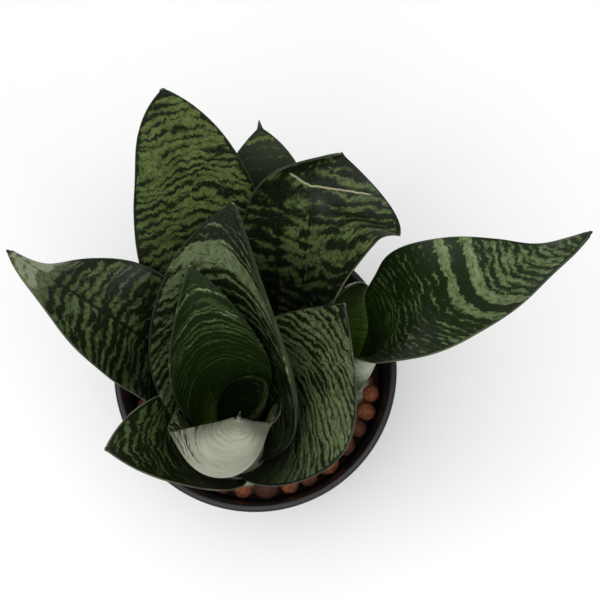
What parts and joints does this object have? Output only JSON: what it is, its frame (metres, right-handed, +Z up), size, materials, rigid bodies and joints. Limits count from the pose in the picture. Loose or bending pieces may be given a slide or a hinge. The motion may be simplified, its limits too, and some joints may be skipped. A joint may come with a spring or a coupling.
{
  "type": "potted snake plant",
  "caption": "Rosette of broad banded upright leaves with a side shoot, growing in clay pebbles in a round tapered pot.",
  "frame": {"origin": "middle of the pot's underside, on the surface that the pot stands on", "axes": "+Z up along the pot's axis; -Y toward the viewer of the picture, +X to the viewer's right, where the long leaf of the side shoot reaches"},
  "size_m": [0.2348, 0.1585, 0.25],
  "materials": {
    "leaf_blade": "waxy, semi-gloss, dark and light green cross bands, pale grey-green underside",
    "rootstock": "pale green-white, matt",
    "clay_pebbles": "fired clay, matt and slightly rough",
    "pot_plastic": "black, satin, smooth rim"
  },
  "bodies": {
    "root": {"pot": "pot_plastic", "pebble_bed": "clay_pebbles", "main_crown": "rootstock", "side_crown": "rootstock", "leaf_youngest": "leaf_blade", "leaf_funnel_inner": "leaf_blade", "leaf_front_inner": "leaf_blade", "leaf_funnel_outer": "leaf_blade", "leaf_front_right": "leaf_blade", "leaf_front_left": "leaf_blade", "leaf_left": "leaf_blade", "leaf_back_right": "leaf_blade", "leaf_back_left": "leaf_blade", "leaf_back_small": "leaf_blade", "side_leaf_sheath": "leaf_blade", "side_leaf_long": "leaf_blade"}
  },
  "joints": []
}
